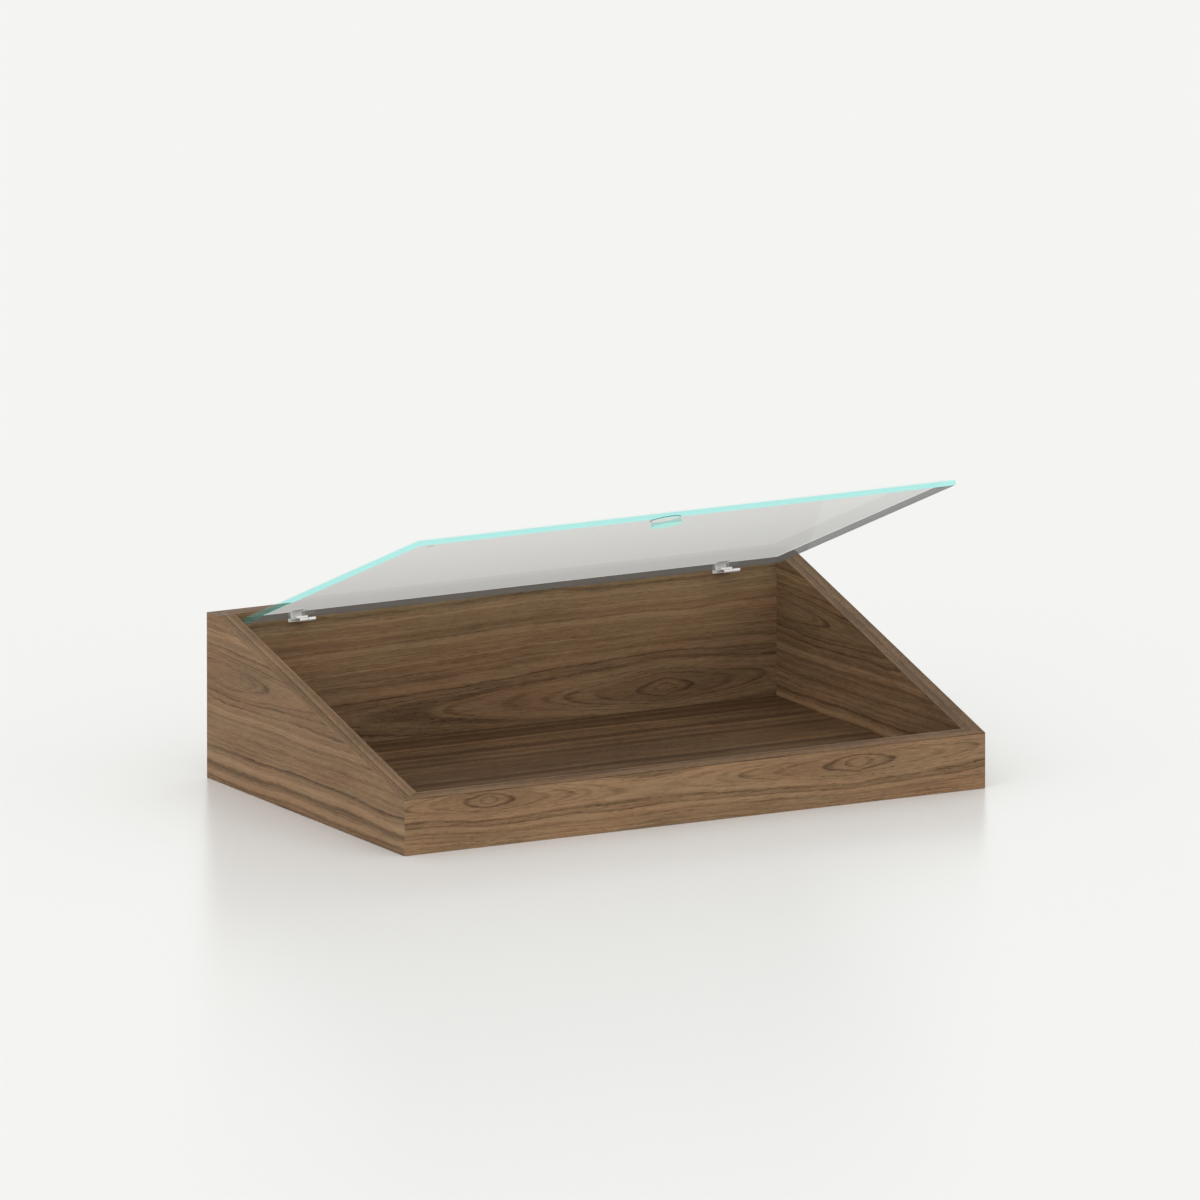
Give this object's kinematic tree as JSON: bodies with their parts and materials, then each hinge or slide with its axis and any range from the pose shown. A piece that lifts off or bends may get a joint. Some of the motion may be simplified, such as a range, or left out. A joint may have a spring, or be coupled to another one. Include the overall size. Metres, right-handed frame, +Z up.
{
  "type": "countertop display case",
  "caption": "Low lectern-shaped display case in mitred walnut board, with a sloping rim and a frameless glass lid with a finger hole, held open on clamp hinges",
  "frame": {"origin": "middle of the footprint, on the surface that the case stands on", "axes": "+X to the right seen from the front, +Y to the rear, +Z up"},
  "size_m": [0.6, 0.379, 0.287],
  "materials": {
    "walnut_sides": "walnut veneer, satin lacquer, grain along the wall",
    "walnut_cross": "walnut veneer with knots and cathedral figure, satin lacquer",
    "walnut_edging": "walnut edge band, straight grain along its length, satin lacquer",
    "walnut_floor": "dark straight-grained walnut veneer, satin lacquer",
    "beech": "pressed beech biscuits, raw",
    "hinge_metal": "satin nickel",
    "hinge_pin": "bright polished steel",
    "screws": "zinc-plated steel",
    "glass": "clear float glass with polished blue-green edges",
    "liner": "thin translucent plastic strip",
    "bumper": "clear soft polyurethane dot"
  },
  "bodies": {
    "case": {"left_side_panel": "walnut_sides", "right_side_panel": "walnut_sides", "rear_panel": "walnut_cross", "front_panel": "walnut_cross", "floor_panel": "walnut_floor", "left_side_edge_band": "walnut_edging", "right_side_edge_band": "walnut_edging", "rear_edge_band": "walnut_edging", "front_edge_band": "walnut_edging", "rear_left_biscuits": "beech", "rear_right_biscuits": "beech", "front_left_biscuit": "beech", "front_right_biscuit": "beech", "left_hinge_bracket": "hinge_metal", "right_hinge_bracket": "hinge_metal", "left_hinge_pin": "hinge_pin", "right_hinge_pin": "hinge_pin", "left_bracket_screws": "screws", "right_bracket_screws": "screws"},
    "lid": {"glass_lid": "glass", "left_clamp": "hinge_metal", "right_clamp": "hinge_metal", "left_clamp_liner": "liner", "right_clamp_liner": "liner", "left_grub_screws": "screws", "right_grub_screws": "screws", "left_lid_bumper": "bumper", "right_lid_bumper": "bumper"}
  },
  "joints": [
    {"name": "lid_hinge", "type": "hinge", "parent": "case", "child": "lid", "pos_m": [0, 0.1502, 0.14635], "axis": [-1, 0, 0], "range_deg": [-37.9, 6]}
  ]
}
